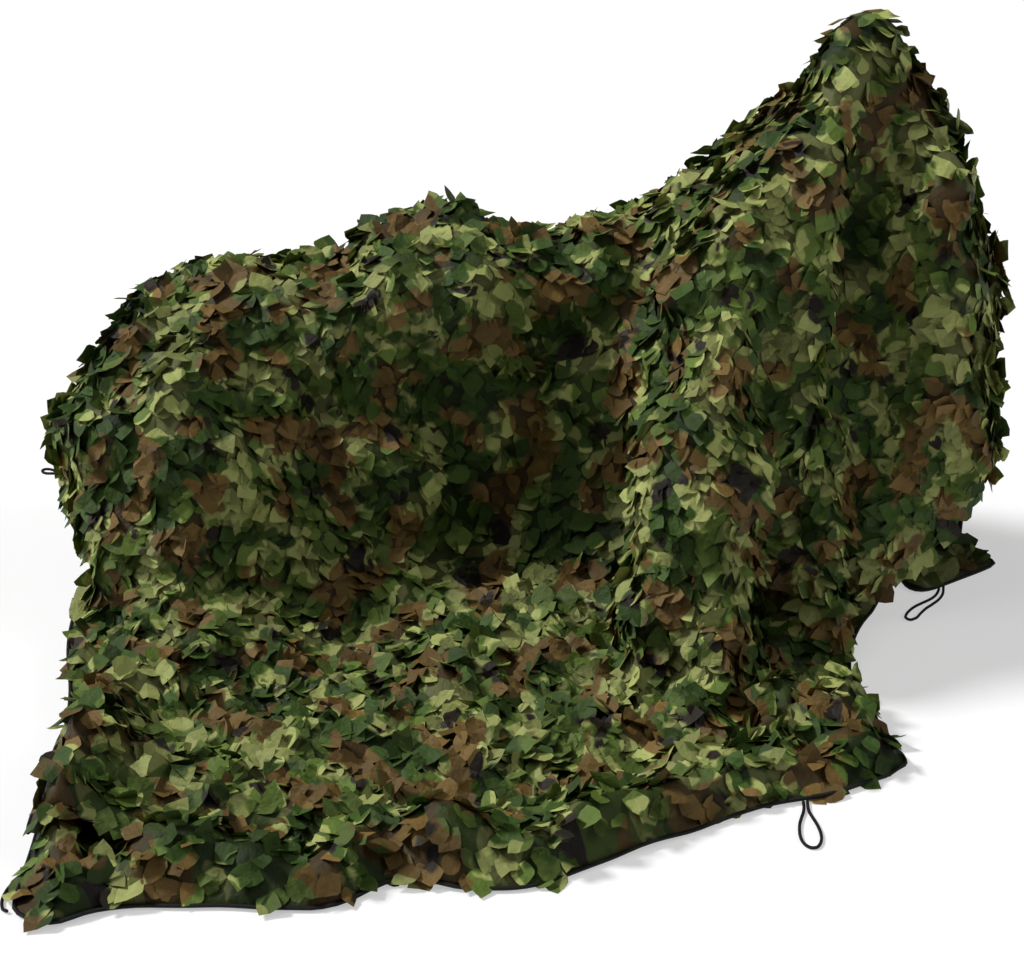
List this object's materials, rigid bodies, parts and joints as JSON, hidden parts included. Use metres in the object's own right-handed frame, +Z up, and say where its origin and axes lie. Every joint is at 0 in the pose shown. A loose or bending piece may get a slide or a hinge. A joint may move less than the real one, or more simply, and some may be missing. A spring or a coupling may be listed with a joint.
{
  "type": "camouflage net",
  "caption": "Hollow draped camouflage net with a cord-bound edge and tie loops, shaped by the two-wheeled vehicle it covers.",
  "frame": {"origin": "under the net's top, on the saddle of the vehicle that it covers", "axes": "+Z up; +X towards the front of the covered vehicle; -Y towards the side where the net spreads on the ground"},
  "size_m": [2.2705, 2.2423, 1.3275],
  "materials": {
    "camouflage_cloth": "matt printed cloth in greens, brown and black, cut into leaf flaps on a mesh backing",
    "black_cord": "braided black cord"
  },
  "bodies": {
    "root": {"camouflage_sheet": "camouflage_cloth", "edge_cord": "black_cord", "tie_loop_near_hem": "black_cord", "tie_loop_front_corner": "black_cord", "tie_loop_near_corner": "black_cord", "tie_loop_rear_edge": "black_cord"}
  },
  "joints": []
}
